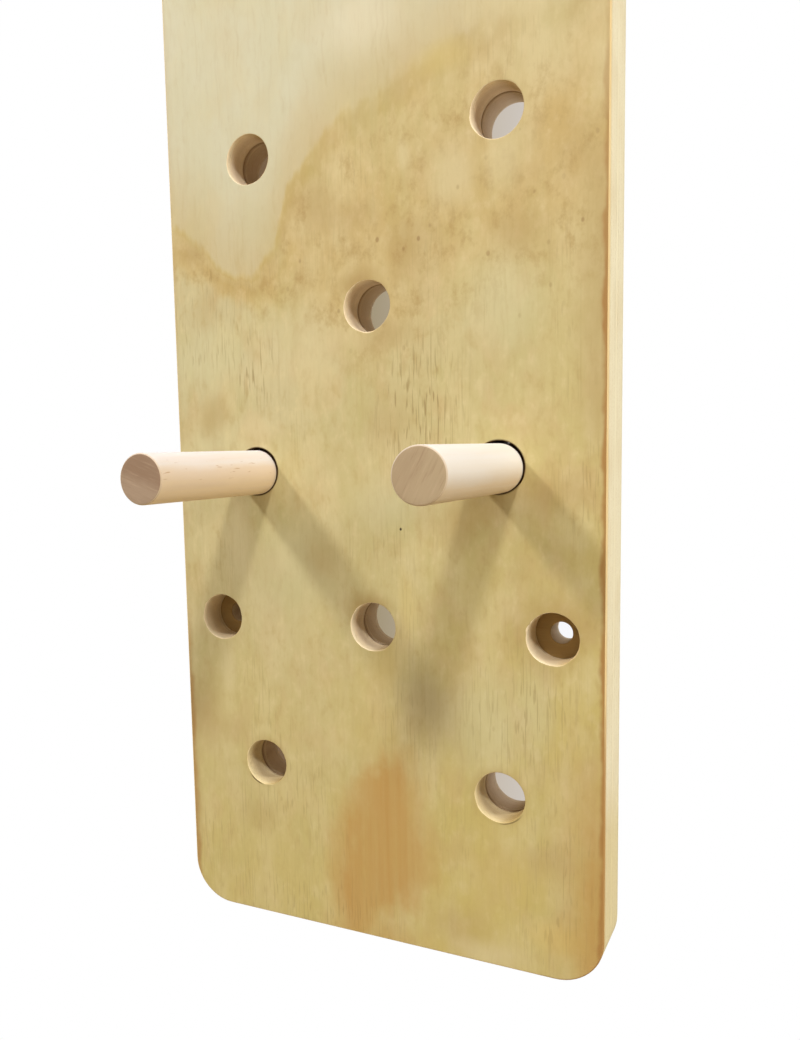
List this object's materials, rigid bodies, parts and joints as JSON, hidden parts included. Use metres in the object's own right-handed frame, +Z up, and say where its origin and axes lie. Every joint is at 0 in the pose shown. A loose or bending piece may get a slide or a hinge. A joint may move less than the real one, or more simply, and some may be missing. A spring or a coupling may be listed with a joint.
{
  "type": "climbing pegboard",
  "caption": "Tall narrow plywood board that bolts to a wall, drilled with staggered round holes, with loose round hand pegs that a climber pulls out and moves from hole to hole.",
  "frame": {"origin": "centre of the back face, which goes against the wall", "axes": "+Z up along the board, +Y into the wall, +X to the right for someone who faces the board"},
  "size_m": [0.3, 0.1703, 1.466],
  "materials": {
    "face_veneer": "sanded rotary-cut pine with a thin clear satin coat",
    "core_plies": "sawn and drilled pine ply edges",
    "inner_veneer": "sawn and drilled pine ply edges, browned by glue",
    "peg_wood": "pale hardwood dowel, sanded smooth, with sawn ends"
  },
  "bodies": {
    "board": {"front_face_veneer": "face_veneer", "front_core": "core_plies", "front_inner_veneer": "inner_veneer", "back_inner_veneer": "inner_veneer", "back_core": "core_plies", "back_face_veneer": "face_veneer"},
    "left_peg": {"left_peg": "peg_wood"},
    "right_peg": {"right_peg": "peg_wood"}
  },
  "joints": [
    {"name": "left_peg_pull", "type": "slide", "parent": "board", "child": "left_peg", "axis": [0, -1, 0], "range_m": [0, 0.06]},
    {"name": "right_peg_pull", "type": "slide", "parent": "board", "child": "right_peg", "axis": [0, -1, 0], "range_m": [0, 0.06]}
  ]
}
